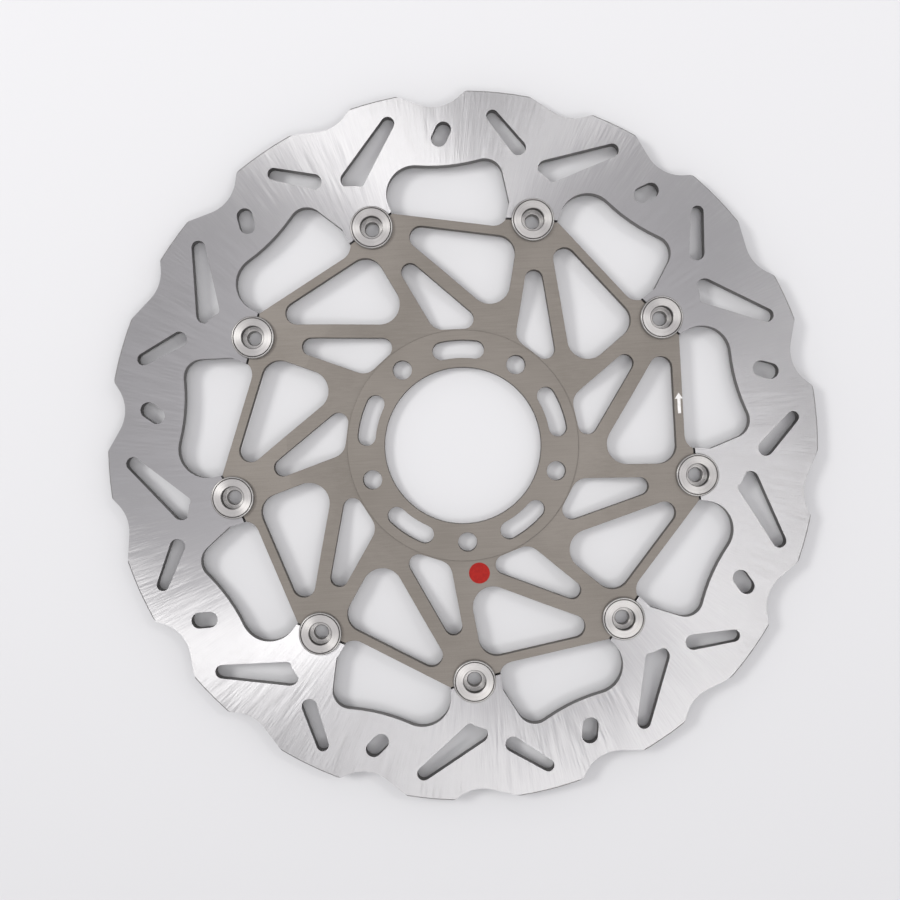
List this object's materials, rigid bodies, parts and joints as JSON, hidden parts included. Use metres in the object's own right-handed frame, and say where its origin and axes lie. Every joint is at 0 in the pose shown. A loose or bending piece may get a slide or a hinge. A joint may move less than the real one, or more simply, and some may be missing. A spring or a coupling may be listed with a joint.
{
  "type": "floating brake disc",
  "caption": "Floating motorcycle brake disc: a slotted steel ring with a wavy rim, carried by hollow bobbins on a spoked alloy carrier with a hub bore and bolt holes.",
  "frame": {"origin": "centre of the hub bore, on the face that meets the wheel hub", "axes": "+Z along the wheel axle, out of the pictured outer face; the first bobbin lies on the -Y side"},
  "size_m": [0.31, 0.3092, 0.0097],
  "materials": {
    "ring_steel": "ground stainless steel with fine grinding lines",
    "carrier_alloy": "satin hard-anodised, warm grey",
    "bobbin_steel": "turned and bright plated",
    "washer_steel": "plain rolled",
    "spring_steel": "hardened spring steel, oiled",
    "clip_steel": "phosphated, black"
  },
  "bodies": {
    "carrier": {"carrier": "carrier_alloy"},
    "brake_ring": {"brake_ring": "ring_steel"},
    "bobbin_1": {"bobbin_1": "bobbin_steel", "flat_washer_1": "washer_steel", "spring_washer_1": "spring_steel", "circlip_1": "clip_steel"},
    "bobbin_2": {"bobbin_2": "bobbin_steel", "flat_washer_2": "washer_steel", "spring_washer_2": "spring_steel", "circlip_2": "clip_steel"},
    "bobbin_3": {"bobbin_3": "bobbin_steel", "flat_washer_3": "washer_steel", "spring_washer_3": "spring_steel", "circlip_3": "clip_steel"},
    "bobbin_4": {"bobbin_4": "bobbin_steel", "flat_washer_4": "washer_steel", "spring_washer_4": "spring_steel", "circlip_4": "clip_steel"},
    "bobbin_5": {"bobbin_5": "bobbin_steel", "flat_washer_5": "washer_steel", "spring_washer_5": "spring_steel", "circlip_5": "clip_steel"},
    "bobbin_6": {"bobbin_6": "bobbin_steel", "flat_washer_6": "washer_steel", "spring_washer_6": "spring_steel", "circlip_6": "clip_steel"},
    "bobbin_7": {"bobbin_7": "bobbin_steel", "flat_washer_7": "washer_steel", "spring_washer_7": "spring_steel", "circlip_7": "clip_steel"},
    "bobbin_8": {"bobbin_8": "bobbin_steel", "flat_washer_8": "washer_steel", "spring_washer_8": "spring_steel", "circlip_8": "clip_steel"},
    "bobbin_9": {"bobbin_9": "bobbin_steel", "flat_washer_9": "washer_steel", "spring_washer_9": "spring_steel", "circlip_9": "clip_steel"}
  },
  "joints": [
    {"name": "ring_float", "type": "slide", "parent": "carrier", "child": "brake_ring", "axis": [0, 0, 1], "range_m": [-0.0003, 0.0003]},
    {"name": "bobbin_1_turn", "type": "hinge", "parent": "brake_ring", "child": "bobbin_1", "pos_m": [0, -0.103, 0.0059], "axis": [0, 0, 1], "continuous": true},
    {"name": "bobbin_2_turn", "type": "hinge", "parent": "brake_ring", "child": "bobbin_2", "pos_m": [-0.06621, -0.0789, 0.0059], "axis": [0, 0, 1], "continuous": true},
    {"name": "bobbin_3_turn", "type": "hinge", "parent": "brake_ring", "child": "bobbin_3", "pos_m": [-0.10144, -0.01789, 0.0059], "axis": [0, 0, 1], "continuous": true},
    {"name": "bobbin_4_turn", "type": "hinge", "parent": "brake_ring", "child": "bobbin_4", "pos_m": [-0.0892, 0.0515, 0.0059], "axis": [0, 0, 1], "continuous": true},
    {"name": "bobbin_5_turn", "type": "hinge", "parent": "brake_ring", "child": "bobbin_5", "pos_m": [-0.03523, 0.09679, 0.0059], "axis": [0, 0, 1], "continuous": true},
    {"name": "bobbin_6_turn", "type": "hinge", "parent": "brake_ring", "child": "bobbin_6", "pos_m": [0.03523, 0.09679, 0.0059], "axis": [0, 0, 1], "continuous": true},
    {"name": "bobbin_7_turn", "type": "hinge", "parent": "brake_ring", "child": "bobbin_7", "pos_m": [0.0892, 0.0515, 0.0059], "axis": [0, 0, 1], "continuous": true},
    {"name": "bobbin_8_turn", "type": "hinge", "parent": "brake_ring", "child": "bobbin_8", "pos_m": [0.10144, -0.01789, 0.0059], "axis": [0, 0, 1], "continuous": true},
    {"name": "bobbin_9_turn", "type": "hinge", "parent": "brake_ring", "child": "bobbin_9", "pos_m": [0.06621, -0.0789, 0.0059], "axis": [0, 0, 1], "continuous": true}
  ]
}
